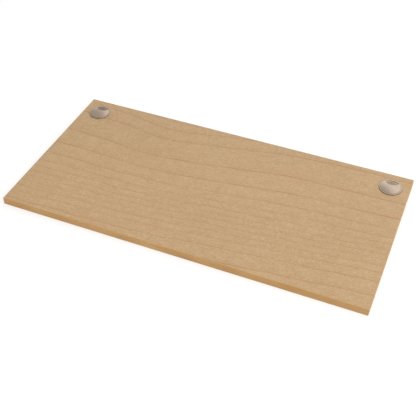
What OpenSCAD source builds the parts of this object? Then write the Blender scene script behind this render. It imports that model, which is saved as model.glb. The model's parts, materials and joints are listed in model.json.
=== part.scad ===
// Desk top: a laminated, edge-banded board with two cable ports at its rear corners.
// Each port is a sleeve in the board, a lid that lifts out and a shutter that turns under the lid.
// Origin: centre of the underside. +X runs along the length, +Y to the rear edge, +Z up.
// Every size is in millimetres.

/* [Desk top] */
// Overall length, left to right
top_length = 1200; // [900:10:1800]
// Overall depth, front to rear
top_depth = 600; // [500:10:900]
// Overall thickness, with both laminates
top_thickness = 25; // [20:0.1:38]
// Thickness of the decor laminate on each face
laminate_t = 0.8; // [0.5:0.1:1.5]
// Thickness of the edge bands
band_t = 2; // [1:0.1:3]
// Radius of the rounded arrises and corners of the bands
arris_r = 1.6; // [0.5:0.1:2.5]

/* [Frame fixings] */
// Outer diameter of a threaded insert
insert_d = 10; // [8:0.5:12]
// Length of a threaded insert
insert_length = 13; // [10:0.5:16]
// Core diameter of the insert's thread
insert_bore_d = 5; // [4:0.1:6.5]
// Depth of the grooves between the insert's outer ridges
insert_groove = 0.6; // [0.3:0.1:0.9]
// Width of the screwdriver slot across the insert
insert_slot_w = 1.4; // [1:0.1:2]
// Depth of the screwdriver slot
insert_slot_depth = 1.6; // [1:0.1:2.5]
// How much deeper the blind hole is than its insert
insert_hole_spare = 1.5; // [0.5:0.1:3]
// From a side edge to the centre of its group of inserts
fixing_inset = 200; // [170:5:300]
// Between inserts, along the length
fixing_span_x = 100; // [60:5:150]
// Between inserts, along the depth
fixing_span_y = 400; // [300:10:440]

/* [Port hole and sleeve] */
// Diameter of the hole through the board
port_hole_d = 64; // [50:0.5:84]
// From a side edge to the port's axis
port_inset_side = 63; // [52:1:120]
// From the rear edge to the port's axis
port_inset_rear = 69; // [52:1:120]
// How far the flange reaches past the hole
flange_overhang = 5.5; // [4:0.5:9]
// Width of the flange outside the lid
flange_land = 4.3; // [3:0.1:6]
// Height of the flange above the board
flange_h = 3.4; // [2.6:0.1:5]
// Radius of the flange's outer shoulder
flange_round = 2; // [0.5:0.1:2.4]
// Thickness of the seat that the lid rests on
seat_t = 1.6; // [1:0.1:2.2]
// Wall of the sleeve
sleeve_wall = 2; // [1.6:0.1:3]
// Gap between the sleeve and the hole
sleeve_fit = 0.2; // [0.1:0.05:0.5]
// Gap between the sleeve's crush ribs and the hole
rib_fit = 0.05; // [0.02:0.01:0.1]
// Width of a crush rib
rib_w = 1.2; // [0.8:0.1:2]
// Number of crush ribs round the sleeve
rib_count = 12; // [6:1:18]
// How far above the underside the sleeve ends
sleeve_recess = 3; // [2:0.5:6]

/* [Lid] */
// Gap between the lid's rim and the flange
rim_fit = 0.4; // [0.3:0.05:0.8]
// Gap between the lid and its seat
seat_fit = 0.1; // [0.05:0.05:0.3]
// Height of the lid's rim above the board
rim_top = 4.2; // [3.6:0.1:6]
// Rise of the dome from its rim to its crown
dome_rise = 4.4; // [3:0.1:5]
// Wall of the dome
dome_wall = 1.8; // [1.4:0.1:2.4]
// Gap between the lid's skirt and the sleeve
skirt_fit = 0.4; // [0.3:0.05:0.8]
// Wall of the skirt
skirt_wall = 1.5; // [1.2:0.1:2.2]
// Depth of the skirt below the board's face
skirt_depth = 8; // [6:0.5:12]
// Width of the key that stops the lid turning
key_w = 3; // [2:0.1:5]
// How far the key stands out of the skirt
key_out = 1.2; // [0.8:0.1:1.4]
// Gap between the key and its slot, all round
key_fit = 0.3; // [0.2:0.05:0.5]

/* [Cable mouth and shutter] */
// Radius of the round-fronted mouth in the lid
mouth_r = 22; // [16:0.5:27]
// From the lid's axis to the front of the mouth
mouth_front = 5.5; // [5.5:0.5:14]
// Thickness of the shutter plate
shutter_t = 1.6; // [1.2:0.1:2]
// Top of the shutter above the board's face
shutter_top = 2; // [0.6:0.1:2.2]
// Gap between the shutter's edge and the skirt
shutter_fit = 0.6; // [0.4:0.1:1]
// Angle by which the shutter covers past each side of the mouth
shutter_overlap = 6; // [3:1:9]
// Angle left between the shutter and its stop at each end of the turn
stop_gap = 1.5; // [0.5:0.5:3]
// Width of the finger ridge on the shutter
ridge_w = 12; // [6:1:16]
// Height of the finger ridge
ridge_h = 0.7; // [0.5:0.1:1]

/* [Pivot] */
// Diameter of the boss under the crown
boss_d = 9; // [8:0.5:10]
// Diameter of the pin that the shutter turns on
pin_d = 6; // [5:0.5:6.5]
// Radial clearance of the shutter on its pin
pin_fit = 0.08; // [0.05:0.01:0.1]
// Gap above and below the shutter plate
play = 0.3; // [0.2:0.05:0.5]
// Diameter of the washer under the shutter
washer_d = 12; // [10:0.5:16]
// Thickness of the washer
washer_t = 0.8; // [0.5:0.1:1.2]
// Diameter of the screw's thread
screw_d = 3; // [2.5:0.1:3.5]
// Length of the screw under its head
screw_length = 6; // [5:0.5:7]
// Diameter of the screw's pan head
screw_head_d = 5.6; // [5:0.1:6.5]
// Height of the screw's head
screw_head_h = 2; // [1.5:0.1:2.4]
// Radial clearance of the screw in the boss and the washer
screw_fit = 0.05; // [0.03:0.01:0.1]

/* [Hidden] */

left = -1;
right = 1;
front = -1;
rear = 1;
eps = 0.01;
curve_fn = 96;
dome_fn = 256;

// Colours
maple = "#c4a37d";
maple_edge = "#c49a68";
chipboard = "#b79a6e";
satin_nickel = "#a5968a";
zinc_steel = "#b9bcc0";

// Board
core_length = top_length - 2 * band_t;
core_depth = top_depth - 2 * band_t;
core_t = top_thickness - 2 * laminate_t;
arris = min(arris_r, band_t - 0.2, top_thickness / 2 - 1);
port_hole_r = port_hole_d / 2;

// Inserts
insert_r = insert_d / 2;
insert_hole_depth = insert_length + insert_hole_spare;
insert_ridge = 1.3;

// Sleeve, about the port's axis with z = 0 at the board's upper face
sleeve_r = port_hole_r - sleeve_fit;
sleeve_bore_r = sleeve_r - sleeve_wall;
sleeve_depth = top_thickness - sleeve_recess;
flange_r = port_hole_r + flange_overhang;
recess_r = flange_r - flange_land;

// Lid
rim_r = recess_r - rim_fit;
rim_bottom = seat_t + seat_fit;
crown = rim_top + dome_rise;
dome_r = (rim_r * rim_r + dome_rise * dome_rise) / (2 * dome_rise);
skirt_r = sleeve_bore_r - skirt_fit;
skirt_bore_r = skirt_r - skirt_wall;
key_r = skirt_r + key_out;
slot_r = key_r + key_fit;

// Mouth and shutter
mouth_y = mouth_front + mouth_r;
mouth_half_angle = asin(mouth_r / mouth_y);
shutter_r = skirt_bore_r - shutter_fit;
shutter_bottom = shutter_top - shutter_t;
shutter_half_angle = mouth_half_angle + shutter_overlap;
hub_r = boss_d / 2 + 1.5;
ridge_inset = 4;
ridge_t = 1.6;
ridge_sink = 0.4;
stop_w = 2.4;
stop_half_angle = 90 - shutter_half_angle - stop_gap;

// Pivot
shoulder_z = shutter_top + play;
pin_r = pin_d / 2;
pin_end = shutter_bottom - play;
washer_bottom = pin_end - washer_t;
screw_r = screw_d / 2;
pilot_r = screw_r + screw_fit;
pilot_depth = screw_length - washer_t + 0.5;
drive_w = 0.8;
drive_l = 3.2;
drive_depth = 1.1;

// Moves what is drawn about a port's axis to the port on one side
module at_port(side) {
    translate([side * (top_length / 2 - port_inset_side),
               top_depth / 2 - port_inset_rear,
               top_thickness])
        children();
}

// Repeats its children at the four inserts of one side
module at_inserts(side) {
    for (sx = [-1, 1], sy = [-1, 1])
        translate([side * (top_length / 2 - fixing_inset) + sx * fixing_span_x / 2,
                   sy * fixing_span_y / 2, 0])
            children();
}

// A flat sheet as large as the core, with both port holes
module sheet(z, t) {
    difference() {
        translate([-core_length / 2, -core_depth / 2, z])
            cube([core_length, core_depth, t]);
        for (side = [left, right])
            at_port(side)
                translate([0, 0, -top_thickness - 1])
                    cylinder(r = port_hole_r, h = top_thickness + 2, $fn = curve_fn);
    }
}

// Blind holes for every insert, from below the underside
module insert_holes() {
    for (side = [left, right])
        at_inserts(side)
            translate([0, 0, -1])
                cylinder(r = insert_r, h = insert_hole_depth + 1, $fn = curve_fn);
}

// A quarter of a disc, in the first quadrant
module quarter_disc(r) {
    intersection() {
        circle(r = r, $fn = curve_fn);
        square(2 * r);
    }
}

// A rectangle from the origin with rounded corners at its far x side, top and bottom
module rounded_end(w, h, r) {
    square([w - r, h]);
    translate([0, r])
        square([w, h - 2 * r]);
    translate([w - r, h - r])
        quarter_disc(r);
    translate([w - r, r])
        mirror([0, 1])
            quarter_disc(r);
}

// The board's outline in plan, with small round corners
module outline(r) {
    square([top_length - 2 * r, top_depth], center = true);
    square([top_length, top_depth - 2 * r], center = true);
    for (sx = [-1, 1], sy = [-1, 1])
        translate([sx * (top_length / 2 - r), sy * (top_depth / 2 - r)])
            circle(r = r, $fn = curve_fn);
}

// A band of the given length along X, with its outer face towards +Y and its inner face at y = 0
module band(length) {
    translate([-length / 2, 0, 0])
        rotate([90, 0, 90])
            linear_extrude(height = length)
                rounded_end(band_t, top_thickness, arris);
}

module core_board() {
    color(chipboard)
        difference() {
            sheet(laminate_t, core_t);
            insert_holes();
        }
}

module top_laminate() {
    color(maple)
        sheet(top_thickness - laminate_t, laminate_t);
}

module backer_laminate() {
    color(maple)
        difference() {
            sheet(0, laminate_t);
            insert_holes();
        }
}

// The front and rear bands run the whole length and cover the ends of the side bands
module long_band(side) {
    color(maple_edge)
        intersection() {
            rotate([0, 0, side == rear ? 0 : 180])
                translate([0, core_depth / 2, 0])
                    band(top_length);
            linear_extrude(height = top_thickness)
                outline(arris);
        }
}

module side_band(side) {
    color(maple_edge)
        rotate([0, 0, side == right ? -90 : 90])
            translate([0, core_length / 2, 0])
                band(core_depth);
}

// A slotted insert with annular ridges outside and a through bore
module insert() {
    difference() {
        cylinder(r = insert_r, h = insert_length, $fn = curve_fn);
        translate([0, 0, -1])
            cylinder(d = insert_bore_d, h = insert_length + 2, $fn = curve_fn);
        for (z = [insert_slot_depth + insert_ridge : 2 * insert_ridge : insert_length - 2 * insert_ridge])
            translate([0, 0, z])
                difference() {
                    cylinder(r = insert_r + 1, h = insert_ridge, $fn = curve_fn);
                    translate([0, 0, -1])
                        cylinder(r = insert_r - insert_groove, h = insert_ridge + 2, $fn = curve_fn);
                }
        translate([-insert_r - 1, -insert_slot_w / 2, -1])
            cube([insert_d + 2, insert_slot_w, insert_slot_depth + 1]);
    }
}

module frame_inserts(side) {
    color(zinc_steel)
        at_inserts(side)
            insert();
}

// Half section of the sleeve: tube, seat and raised flange
module sleeve_section() {
    translate([sleeve_bore_r, -sleeve_depth])
        square([sleeve_wall, sleeve_depth + eps]);
    translate([sleeve_bore_r, 0])
        square([recess_r - sleeve_bore_r + eps, seat_t]);
    translate([recess_r, 0]) {
        square([flange_land - flange_round, flange_h]);
        square([flange_land, flange_h - flange_round]);
        translate([flange_land - flange_round, flange_h - flange_round])
            quarter_disc(flange_round);
    }
}

// The slot that takes the lid's key, cut into the bore at the front
module key_slot() {
    slot_w = key_w + 2 * key_fit;
    translate([-slot_w / 2, -slot_r, -skirt_depth - key_fit])
        cube([slot_w, slot_r - sleeve_bore_r + 2, skirt_depth + key_fit + seat_t + 1]);
}

// Ribs that hold the sleeve in the hole
module crush_ribs() {
    rib_h = sleeve_depth * 0.6;
    for (i = [0 : rib_count - 1])
        rotate([0, 0, (i + 0.5) * 360 / rib_count])
            translate([sleeve_r - sleeve_wall / 2, -rib_w / 2, -rib_h - 2])
                cube([port_hole_r - rib_fit - sleeve_r + sleeve_wall / 2, rib_w, rib_h]);
}

module port_sleeve(side) {
    color(satin_nickel)
        at_port(side)
            difference() {
                union() {
                    rotate_extrude($fn = curve_fn)
                        sleeve_section();
                    crush_ribs();
                }
                key_slot();
            }
}

// Half section of the lid: domed plate and skirt
module lid_section() {
    difference() {
        union() {
            intersection() {
                translate([0, crown - dome_r])
                    circle(r = dome_r, $fn = dome_fn);
                translate([0, rim_bottom])
                    square([rim_r, crown]);
            }
            translate([skirt_bore_r, -skirt_depth])
                square([skirt_wall, skirt_depth + rim_bottom + eps]);
        }
        intersection() {
            translate([0, crown - dome_r])
                circle(r = dome_r - dome_wall, $fn = dome_fn);
            translate([-1, -skirt_depth - 1])
                square([skirt_bore_r + 1, skirt_depth + crown + 1]);
        }
    }
}

// Boss and pin under the crown, with the pilot hole for the screw
module lid_boss() {
    difference() {
        union() {
            translate([0, 0, shoulder_z])
                cylinder(d = boss_d, h = crown - dome_wall / 2 - shoulder_z, $fn = curve_fn);
            translate([0, 0, pin_end])
                cylinder(r = pin_r, h = shoulder_z - pin_end + 1, $fn = curve_fn);
        }
        translate([0, 0, pin_end - 1])
            cylinder(r = pilot_r, h = pilot_depth + 1, $fn = curve_fn);
    }
}

// Rib inside the skirt that stops the shutter at each end of its half turn
module shutter_stop() {
    rotate([0, 0, -stop_half_angle])
        rotate_extrude(angle = 2 * stop_half_angle, $fn = curve_fn)
            translate([skirt_bore_r - stop_w, shutter_bottom])
                square([stop_w + skirt_wall / 2, shutter_t]);
}

module port_lid(side) {
    color(satin_nickel)
        at_port(side)
            union() {
                difference() {
                    union() {
                        rotate_extrude($fn = curve_fn)
                            lid_section();
                        translate([-key_w / 2, -key_r, -skirt_depth])
                            cube([key_w, key_out + skirt_wall / 2, skirt_depth]);
                    }
                    translate([0, mouth_y, rim_bottom])
                        cylinder(r = mouth_r, h = crown, $fn = curve_fn);
                }
                lid_boss();
                shutter_stop();
            }
}

// Plan of the shutter: a sector and a round hub, with the hole for the pin
module shutter_plan() {
    far = 2 * shutter_r;
    side_x = far * sin(shutter_half_angle);
    side_y = far * cos(shutter_half_angle);
    difference() {
        union() {
            circle(r = hub_r, $fn = curve_fn);
            intersection() {
                circle(r = shutter_r, $fn = curve_fn);
                polygon([[0, 0], [side_x, side_y], [0, far], [-side_x, side_y]]);
            }
        }
        circle(r = pin_r + pin_fit, $fn = curve_fn);
    }
}

// Sector plate; its middle points to the rear when the mouth is closed
module port_shutter(side) {
    color(satin_nickel)
        at_port(side)
            union() {
                translate([0, 0, shutter_bottom])
                    linear_extrude(height = shutter_t)
                        shutter_plan();
                translate([-ridge_w / 2, shutter_r - ridge_inset, shutter_top - ridge_sink])
                    cube([ridge_w, ridge_t, ridge_h + ridge_sink]);
            }
}

module pivot_washer(side) {
    color(zinc_steel)
        at_port(side)
            translate([0, 0, washer_bottom])
                difference() {
                    cylinder(d = washer_d, h = washer_t, $fn = curve_fn);
                    translate([0, 0, -1])
                        cylinder(r = pilot_r, h = washer_t + 2, $fn = curve_fn);
                }
}

// Pan-head screw with a cross recess, driven up into the boss
module pivot_screw(side) {
    color(zinc_steel)
        at_port(side)
            translate([0, 0, washer_bottom])
                difference() {
                    union() {
                        cylinder(r = screw_r, h = screw_length, $fn = curve_fn);
                        translate([0, 0, -screw_head_h])
                            cylinder(d = screw_head_d, h = screw_head_h, $fn = curve_fn);
                    }
                    for (a = [0, 90])
                        rotate([0, 0, a])
                            translate([-drive_l / 2, -drive_w / 2, -screw_head_h - 1])
                                cube([drive_l, drive_w, drive_depth + 1]);
                }
}

core_board();
top_laminate();
backer_laminate();
long_band(front);  // front_edge_band
long_band(rear);  // rear_edge_band
side_band(left);  // left_edge_band
side_band(right);  // right_edge_band
frame_inserts(left);  // left_frame_inserts
frame_inserts(right);  // right_frame_inserts
port_sleeve(left);  // left_port_sleeve
port_lid(left);  // left_port_lid
port_shutter(left);  // left_port_shutter
pivot_washer(left);  // left_pivot_washer
pivot_screw(left);  // left_pivot_screw
port_sleeve(right);  // right_port_sleeve
port_lid(right);  // right_port_lid
port_shutter(right);  // right_port_shutter
pivot_washer(right);  // right_pivot_washer
pivot_screw(right);  // right_pivot_screw
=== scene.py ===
"""Looks of a laminated desk top with two cable ports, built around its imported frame.

The core and both laminates keep their own solids and get their finishes here. The edge
bands, the threaded inserts and both ports are rebuilt with rounded arrises, threads and
fillets. Meshes are drawn in millimetres about a piece's own centre, then placed in metres.
"""

import json
import logging
import math
from collections.abc import Callable, Sequence
from dataclasses import dataclass, field
from enum import Enum

import bmesh
import bpy
from bmesh.types import BMEdge, BMesh, BMVert
from bpy.types import Material, Node, NodeTree, Object
from bpy.types import NodeSocket as Socket
from mathutils import Matrix, Vector

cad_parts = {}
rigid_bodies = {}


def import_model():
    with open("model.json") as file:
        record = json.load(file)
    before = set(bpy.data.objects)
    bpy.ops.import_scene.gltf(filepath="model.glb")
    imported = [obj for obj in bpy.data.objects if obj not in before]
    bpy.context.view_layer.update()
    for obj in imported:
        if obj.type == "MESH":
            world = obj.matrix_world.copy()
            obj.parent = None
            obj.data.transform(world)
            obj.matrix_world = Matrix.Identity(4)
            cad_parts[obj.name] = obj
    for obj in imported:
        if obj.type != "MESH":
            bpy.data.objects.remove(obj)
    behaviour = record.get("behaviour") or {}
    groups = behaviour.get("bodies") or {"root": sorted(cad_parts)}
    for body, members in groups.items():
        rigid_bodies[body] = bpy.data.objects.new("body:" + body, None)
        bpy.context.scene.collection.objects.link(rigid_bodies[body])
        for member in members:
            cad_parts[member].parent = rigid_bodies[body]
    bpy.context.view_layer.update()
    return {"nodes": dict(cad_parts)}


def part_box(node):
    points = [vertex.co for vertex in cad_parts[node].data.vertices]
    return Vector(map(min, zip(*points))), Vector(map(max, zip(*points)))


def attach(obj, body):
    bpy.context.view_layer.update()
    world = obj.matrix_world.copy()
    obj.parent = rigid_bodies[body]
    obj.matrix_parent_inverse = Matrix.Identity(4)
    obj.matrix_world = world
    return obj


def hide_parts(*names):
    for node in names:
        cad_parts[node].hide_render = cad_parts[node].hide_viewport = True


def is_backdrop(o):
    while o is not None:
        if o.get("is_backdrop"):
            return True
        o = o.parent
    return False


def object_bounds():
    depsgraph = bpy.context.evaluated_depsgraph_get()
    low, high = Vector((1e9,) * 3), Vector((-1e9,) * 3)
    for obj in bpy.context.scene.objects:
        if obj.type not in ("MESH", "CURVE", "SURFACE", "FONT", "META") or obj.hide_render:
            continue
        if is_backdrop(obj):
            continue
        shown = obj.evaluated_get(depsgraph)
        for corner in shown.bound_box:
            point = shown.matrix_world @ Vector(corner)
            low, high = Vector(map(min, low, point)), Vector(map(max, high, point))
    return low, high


LOG = logging.getLogger("desk_top")
MM = 0.001
# Points nearer than this are merged, in a drawn mesh and in a placed one
WELD_MM = 1e-4
WELD_M = 2e-7
# Angles between faces, in radians: an edge past the first is rounded, one past the second is crisp
SHARP_ANGLE = 0.7
SMOOTH_ANGLE = math.radians(35.0)
# Cosine past which two directions count as one
ALIGNED = 0.9
RINGS_PER_TURN = 6

Color = tuple[float, float, float]
Point = tuple[float, float]
Spot = tuple[float, float, float]
Source = Socket | float | Sequence[float]
Inputs = Sequence[Source] | dict[int | str, Source]
ORIGIN: Point = (0.0, 0.0)


# ---------------------------------------------------------------- shapes


class Operation(Enum):
    """How one closed mesh changes another."""

    JOIN = "UNION"
    CUT = "DIFFERENCE"


class Side(Enum):
    """End of the desk top, as the sign of its X."""

    LEFT = -1
    RIGHT = 1

    @property
    def word(self) -> str:
        """Name of the side, as the nodes and bodies spell it."""
        return self.name.lower()


def arc(centre: Point, radius: float, start: float, end: float, steps: int) -> list[Point]:
    """Points along an arc.

    Args:
        centre: Centre of the arc.
        radius: Its radius.
        start: Angle of the first point, in degrees.
        end: Angle of the last point, in degrees.
        steps: Number of spans between the points.

    Returns:
        steps + 1 points from the start to the end.
    """
    angles = [math.radians(start + (end - start) * i / steps) for i in range(steps + 1)]
    return [(centre[0] + radius * math.cos(a), centre[1] + radius * math.sin(a)) for a in angles]


def rounded(corners: Sequence[Spot], steps: int = 6) -> list[Point]:
    """Closed outline whose corners are rounded.

    Args:
        corners: Each corner as x, y and its radius, which may be 0.
        steps: Number of spans along each rounded corner.

    Returns:
        The outline's points, in the order of the corners.
    """
    points: list[Point] = []
    for i, (x, y, radius) in enumerate(corners):
        here = Vector((x, y))
        if radius <= 0:
            points.append((x, y))
            continue
        back = (Vector(corners[i - 1][:2]) - here).normalized()
        ahead = (Vector(corners[(i + 1) % len(corners)][:2]) - here).normalized()
        half = back.angle(ahead) / 2
        centre = here + (back + ahead).normalized() * (radius / math.sin(half))
        first = here + back * (radius / math.tan(half)) - centre
        last = here + ahead * (radius / math.tan(half)) - centre
        turn = first.angle(last)
        for k in range(steps + 1):
            share = k / steps
            spoke = first * math.sin((1 - share) * turn) + last * math.sin(share * turn)
            points.append(tuple(centre + spoke / math.sin(turn)))
    return points


def new_object(name: str, data: bpy.types.ID) -> Object:
    """New object with the given data, linked to the scene."""
    made = bpy.data.objects.new(name, data)
    bpy.context.scene.collection.objects.link(made)
    return made


def new_piece(name: str, form: BMesh) -> Object:
    """Object made from a working mesh, with merged points and faces outward.

    Args:
        name: Name of the object and its mesh.
        form: Working mesh, which is freed.

    Returns:
        The object, linked to the scene.
    """
    bmesh.ops.remove_doubles(form, verts=form.verts, dist=WELD_MM)
    bmesh.ops.recalc_face_normals(form, faces=form.faces)
    mesh = bpy.data.meshes.new(name)
    form.to_mesh(mesh)
    form.free()
    return new_object(name, mesh)


def skin(form: BMesh, rows: Sequence[Sequence[BMVert]]) -> None:
    """Fills a working mesh between each closed row of points and the next."""
    for low, high in zip(rows, rows[1:]):
        for i in range(len(low)):
            k = (i + 1) % len(low)
            form.faces.new((low[i], low[k], high[k], high[i]))


def loft(name: str, rings: Sequence[Sequence[Spot]], endless: bool = False) -> Object:
    """Closed skin over rings that all have the same number of points.

    Args:
        name: Name of the object.
        rings: The rings, in order.
        endless: Whether the last ring joins the first; otherwise both ends are capped.

    Returns:
        The skinned object.
    """
    form = bmesh.new()
    rows = [[form.verts.new(p) for p in ring] for ring in rings]
    skin(form, [*rows, rows[0]] if endless else rows)
    if not endless:
        form.faces.new(rows[0][::-1])
        form.faces.new(rows[-1])
    return new_piece(name, form)


def circle(radius: float, z: float, segments: int) -> list[Spot]:
    """Points of a level circle about the Z axis."""
    turns = [2 * math.pi * i / segments for i in range(segments)]
    return [(radius * math.cos(a), radius * math.sin(a), z) for a in turns]


def lathe(name: str, section: Sequence[Point], segments: int) -> Object:
    """Closed half section turned about the Z axis.

    Args:
        name: Name of the object.
        section: The half section's points, as radius and height.
        segments: Number of steps round the axis.

    Returns:
        The turned object.
    """
    return loft(name, [circle(max(r, 0.0), z, segments) for r, z in section], endless=True)


def slab(name: str, outline: Sequence[Point], low: float, high: float) -> Object:
    """Flat plate with the given outline between two heights."""
    return loft(name, [[(x, y, z) for x, y in outline] for z in (low, high)])


def block(name: str, low: Sequence[float], high: Sequence[float]) -> Object:
    """Box between two opposite corners, as the start of a shape."""
    plan = [(low[0], low[1]), (high[0], low[1]), (high[0], high[1]), (low[0], high[1])]
    return slab(name, plan, low[2], high[2])


def settle(piece: Object) -> Object:
    """Turns a piece's modifiers into its plain mesh.

    Args:
        piece: The piece, with its modifiers.

    Returns:
        The same piece, with none.
    """
    bpy.context.view_layer.update()
    graph = bpy.context.evaluated_depsgraph_get()
    made = bpy.data.meshes.new_from_object(piece.evaluated_get(graph), depsgraph=graph)
    piece.modifiers.clear()
    before, piece.data = piece.data, made
    bpy.data.meshes.remove(before)
    made.name = piece.name
    return piece


def combine(piece: Object, tool: Object, operation: Operation) -> Object:
    """Joins a closed mesh to a piece, or cuts it out of the piece.

    Args:
        piece: The piece that is kept.
        tool: The other mesh, which is used up.
        operation: Whether to join or to cut.

    Returns:
        The changed piece.
    """
    step = piece.modifiers.new(operation.name.title(), "BOOLEAN")
    step.operation = operation.value
    step.solver = "EXACT"
    step.object = tool
    settle(piece)
    spent = tool.data
    bpy.data.objects.remove(tool)
    bpy.data.meshes.remove(spent)
    return piece


def ease(
    piece: Object,
    radius: float,
    segments: int,
    chosen: Callable[[BMEdge], bool] = lambda edge: True,
) -> Object:
    """Rounds the sharp edges of a piece.

    Args:
        piece: The piece.
        radius: Radius of the rounding, in the mesh's own unit.
        segments: Number of spans across the rounding.
        chosen: Test that picks among the sharp edges.

    Returns:
        The same piece.
    """
    form = bmesh.new()
    form.from_mesh(piece.data)
    sharp = [e for e in form.edges if len(e.link_faces) == 2 and e.calc_face_angle() > SHARP_ANGLE]
    bmesh.ops.bevel(
        form,
        geom=[e for e in sharp if chosen(e)],
        offset=radius,
        offset_type="OFFSET",
        segments=segments,
        profile=0.5,
        affect="EDGES",
        clamp_overlap=True,
    )
    form.to_mesh(piece.data)
    form.free()
    return piece


def thread(
    low: float, high: float, pitch: float, start: float, end: float, segments: int
) -> list[list[Spot]]:
    """Rings of a helical thread that runs out at both ends.

    Args:
        low: Radius at the root.
        high: Radius at the crest.
        pitch: Rise of one turn.
        start: Height of the first ring.
        end: Height of the last ring.
        segments: Points round each ring.

    Returns:
        The rings, RINGS_PER_TURN to each turn.
    """
    count = round(RINGS_PER_TURN * (end - start) / pitch)
    rings = []
    for row in range(count + 1):
        z = start + (end - start) * row / count
        run_out = min(1.0, (z - start) / pitch, (end - z) / pitch)
        ring = []
        for i in range(segments):
            phase = ((z - start) / pitch - i / segments) % 1.0
            crest = 1 - abs(2 * phase - 1)
            radius = low + (high - low) * crest * run_out
            turn = 2 * math.pi * i / segments
            ring.append((radius * math.cos(turn), radius * math.sin(turn), z))
        rings.append(ring)
    return rings


def place(piece: Object, centre: Vector) -> Object:
    """Moves a mesh drawn in millimetres to its place in the frame, in metres."""
    piece.data.transform(Matrix.Translation(centre) @ Matrix.Scale(MM, 4))
    return piece


def smooth(piece: Object) -> Object:
    """Shades a placed piece smoothly between its real edges.

    Args:
        piece: The piece, in metres.

    Returns:
        The same piece.
    """
    form = bmesh.new()
    form.from_mesh(piece.data)
    bmesh.ops.remove_doubles(form, verts=form.verts, dist=WELD_M)
    bmesh.ops.dissolve_degenerate(form, edges=form.edges, dist=WELD_M)
    for face in form.faces:
        face.smooth = True
    for edge in form.edges:
        edge.smooth = len(edge.link_faces) == 2 and edge.calc_face_angle() < SMOOTH_ANGLE
    open_edges = sum(1 for edge in form.edges if len(edge.link_faces) != 2)
    form.to_mesh(piece.data)
    form.free()
    if open_edges:
        LOG.warning("%s has %d open edges", piece.name, open_edges)
    step = piece.modifiers.new("Even_Normals", "WEIGHTED_NORMAL")
    step.keep_sharp = True
    step.weight = 50
    return settle(piece)


# ---------------------------------------------------------------- node trees


class Steps:
    """Node tree, written as small named steps."""

    def __init__(self, tree: NodeTree) -> None:
        """Takes over a tree and empties it."""
        self.tree = tree
        tree.nodes.clear()

    def add(self, kind: str, **settings: object) -> Node:
        """Adds a node with the given settings."""
        node = self.tree.nodes.new(kind)
        for key, value in settings.items():
            setattr(node, key, value)
        return node

    def feed(self, target: Socket, source: Source) -> None:
        """Links a socket to the target, or sets the target's value."""
        if isinstance(source, Socket):
            self.tree.links.new(source, target)
        else:
            target.default_value = source

    def run(self, kind: str, inputs: Inputs, **settings: object) -> Node:
        """Adds a node and feeds its inputs.

        Args:
            kind: Type of the node.
            inputs: What goes into it, in order or by the input's place or name.
            **settings: Its settings.

        Returns:
            The node.
        """
        node = self.add(kind, **settings)
        for key, source in inputs.items() if isinstance(inputs, dict) else enumerate(inputs):
            self.feed(node.inputs[key], source)
        return node

    def math(self, operation: str, *values: Source) -> Socket:
        """Result of a Math node."""
        return self.run("ShaderNodeMath", values, operation=operation).outputs[0]

    def vector(self, operation: str, *values: Source) -> Socket:
        """Result of a Vector Math node; SCALE takes its factor as the second value."""
        inputs = dict(zip((0, "Scale"), values)) if operation == "SCALE" else values
        node = self.run("ShaderNodeVectorMath", inputs, operation=operation)
        return node.outputs["Value" if operation in ("LENGTH", "DOT_PRODUCT") else "Vector"]

    def span(
        self, value: Source, low: Source, high: Source, to_low: float = 0.0, to_high: float = 1.0
    ) -> Socket:
        """Value carried smoothly from one range to another, and held at its ends."""
        names = ("Value", "From Min", "From Max", "To Min", "To Max")
        inputs = dict(zip(names, (value, low, high, to_low, to_high)))
        node = self.run("ShaderNodeMapRange", inputs, interpolation_type="SMOOTHSTEP", clamp=True)
        return node.outputs["Result"]

    def chain(self, *nodes: Node) -> Node:
        """Links each node's first output to the next one's first input, and returns the last."""
        for before, after in zip(nodes, nodes[1:]):
            self.feed(after.inputs[0], before.outputs[0])
        return nodes[-1]


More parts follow.
